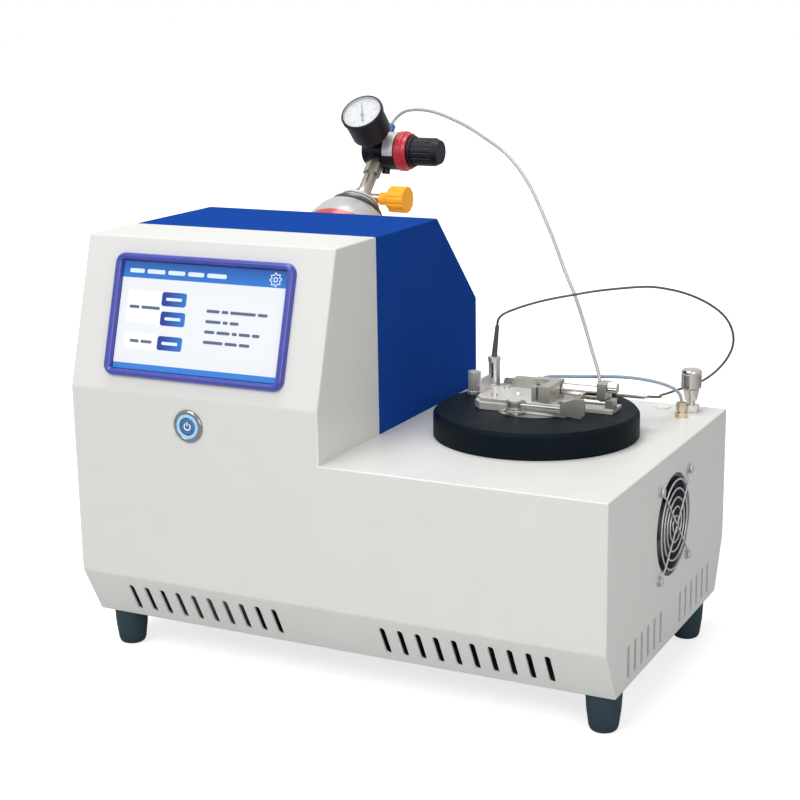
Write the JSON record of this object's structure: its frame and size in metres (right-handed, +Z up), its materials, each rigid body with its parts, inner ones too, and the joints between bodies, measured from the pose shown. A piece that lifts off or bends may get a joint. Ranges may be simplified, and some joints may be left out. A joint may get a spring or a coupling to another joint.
{
  "type": "flash point tester",
  "caption": "Bench instrument with a slanted touch screen tower, gas canister with regulator and gauge behind it, and a heated test cup under a hinged lid.",
  "frame": {"origin": "on the bench, under the middle of the whole object's bounding box", "axes": "+X to the user's right along the long side, +Y from the screen to the gas canister at the back, +Z up"},
  "size_m": [0.464, 0.3697, 0.4433],
  "materials": {
    "white_paint": "fine textured powder coat",
    "blue_paint": "fine textured powder coat",
    "zinc_sheet": "galvanised",
    "foot_rubber": "matte",
    "bezel_plastic": "satin",
    "screen_glass": "gloss",
    "circuit_board": "solder mask",
    "bright_steel": "polished",
    "stainless": "brushed",
    "black_plastic": "matte",
    "supply_case": "satin",
    "slate_disk": "matte",
    "block_alloy": "turned",
    "seal_rubber": "matte",
    "ceramic": "matte",
    "dark_anodised": "satin anodised",
    "relief_rubber": "matte",
    "brass": "satin",
    "white_plastic": "satin",
    "canister_paint": "gloss",
    "orange_plastic": "satin",
    "red_plastic": "satin",
    "dial_white": "matte",
    "needle_black": "matte",
    "gauge_glass": "clear",
    "blue_anodised": "anodised",
    "clear_tube": "translucent",
    "blue_tube": "translucent",
    "lead_black": "matte"
  },
  "bodies": {
    "cabinet": {"front_shell": "white_paint", "rear_cover": "blue_paint", "base_plate": "zinc_sheet", "feet": "foot_rubber", "foot_screws": "stainless", "display_bezel": "bezel_plastic", "touchscreen": "screen_glass", "display_board": "circuit_board", "power_button_body": "bright_steel", "fan_frame": "black_plastic", "fan_guard": "bright_steel", "fan_screws": "bright_steel", "mains_inlet": "black_plastic", "power_supply": "supply_case", "control_board": "circuit_board", "insulating_disk": "slate_disk", "cup_block": "block_alloy", "cup_seal": "seal_rubber", "cooling_module": "ceramic", "heat_sink": "block_alloy", "hinge_base": "dark_anodised", "hinge_pin": "stainless", "clamp_studs": "stainless", "sensor_plug": "bright_steel", "gas_elbow": "brass", "valve_body": "bright_steel", "tube_fitting": "brass", "deck_plug": "white_plastic", "gas_well": "zinc_sheet", "gas_canister": "canister_paint", "canister_valve": "bright_steel", "regulator_body": "black_plastic", "gauge_case": "black_plastic", "gauge_dial": "dial_white", "gauge_lens": "gauge_glass", "outlet_fitting": "blue_anodised", "gas_tube": "clear_tube", "blue_tube": "blue_tube", "sensor_lead": "lead_black"},
    "power_button": {"power_button_cap": "stainless"},
    "fan_rotor": {"fan_rotor": "black_plastic"},
    "lid": {"hinge_leaf": "dark_anodised", "lid_plate": "stainless", "lid_cover": "stainless", "lid_screws": "stainless", "slide_actuator": "bright_steel", "jet_block": "stainless", "probe_holder": "stainless", "flash_probe": "relief_rubber"},
    "shutter": {"shutter_slide": "stainless"},
    "gas_jet": {"gas_jet": "bright_steel"},
    "flame_screw": {"flame_screw": "bright_steel"},
    "lid_lock": {"lock_knob": "stainless", "lock_lever": "stainless"},
    "side_knob": {"side_knob": "stainless"},
    "valve_knob": {"valve_knob": "bright_steel"},
    "canister_knob": {"canister_knob": "orange_plastic"},
    "lock_ring": {"lock_ring": "red_plastic"},
    "regulator_knob": {"regulator_knob": "black_plastic"},
    "gauge_needle": {"gauge_needle": "needle_black"}
  },
  "joints": [
    {"name": "lid_hinge", "type": "hinge", "parent": "cabinet", "child": "lid", "pos_m": [0.11, 0.00985, 0.218], "axis": [1, 0, 0], "range_deg": [-95, 0], "deforming": ["blue_tube", "sensor_lead"]},
    {"name": "shutter_slide", "type": "slide", "parent": "lid", "child": "shutter", "axis": [-1, 0, 0], "range_m": [0, 0.012]},
    {"name": "jet_dip", "type": "hinge", "parent": "lid", "child": "gas_jet", "pos_m": [0.117, -0.01815, 0.225], "axis": [1, 0, 0], "range_deg": [0, 25]},
    {"name": "flame_screw_turn", "type": "hinge", "parent": "lid", "child": "flame_screw", "pos_m": [0.168, -0.01815, 0.2296], "axis": [1, 0, 0], "range_deg": [-180, 180]},
    {"name": "lid_lock_turn", "type": "hinge", "parent": "cabinet", "child": "lid_lock", "pos_m": [0.1015, -0.05015, 0.213], "axis": [0, 0, 1], "range_deg": [-60, 0]},
    {"name": "side_knob_turn", "type": "hinge", "parent": "cabinet", "child": "side_knob", "pos_m": [0.045, -0.00215, 0.217], "axis": [0, 0, 1], "range_deg": [-180, 180]},
    {"name": "power_button_press", "type": "slide", "parent": "cabinet", "child": "power_button", "axis": [0, 1, 0], "range_m": [0, 0.002], "stiffness_N_per_m": 400},
    {"name": "fan_spin", "type": "hinge", "parent": "cabinet", "child": "fan_rotor", "pos_m": [0.213, -0.03115, 0.128], "axis": [1, 0, 0], "continuous": true},
    {"name": "needle_valve_turn", "type": "hinge", "parent": "cabinet", "child": "valve_knob", "pos_m": [0.2025, 0.09185, 0.216], "axis": [0, 0, 1], "range_deg": [0, 360]},
    {"name": "canister_knob_turn", "type": "hinge", "parent": "cabinet", "child": "canister_knob", "pos_m": [-0.082, 0.11674, 0.35179], "axis": [1, 0, 0], "range_deg": [-360, 0]},
    {"name": "lock_ring_turn", "type": "hinge", "parent": "cabinet", "child": "lock_ring", "pos_m": [-0.097, 0.15718, 0.39124], "axis": [1, 0, 0], "range_deg": [0, 180]},
    {"name": "regulator_knob_turn", "type": "hinge", "parent": "cabinet", "child": "regulator_knob", "pos_m": [-0.081, 0.15718, 0.39124], "axis": [1, 0, 0], "range_deg": [-360, 0]},
    {"name": "gauge_needle_turn", "type": "hinge", "parent": "cabinet", "child": "gauge_needle", "pos_m": [-0.12006, 0.11957, 0.42649], "axis": [0, -0.6982, 0.7159], "range_deg": [-130, 130]}
  ],
  "couplings": [
    {"joint": "jet_dip", "follows": "shutter_slide", "rad_per_m": 36.36}
  ]
}
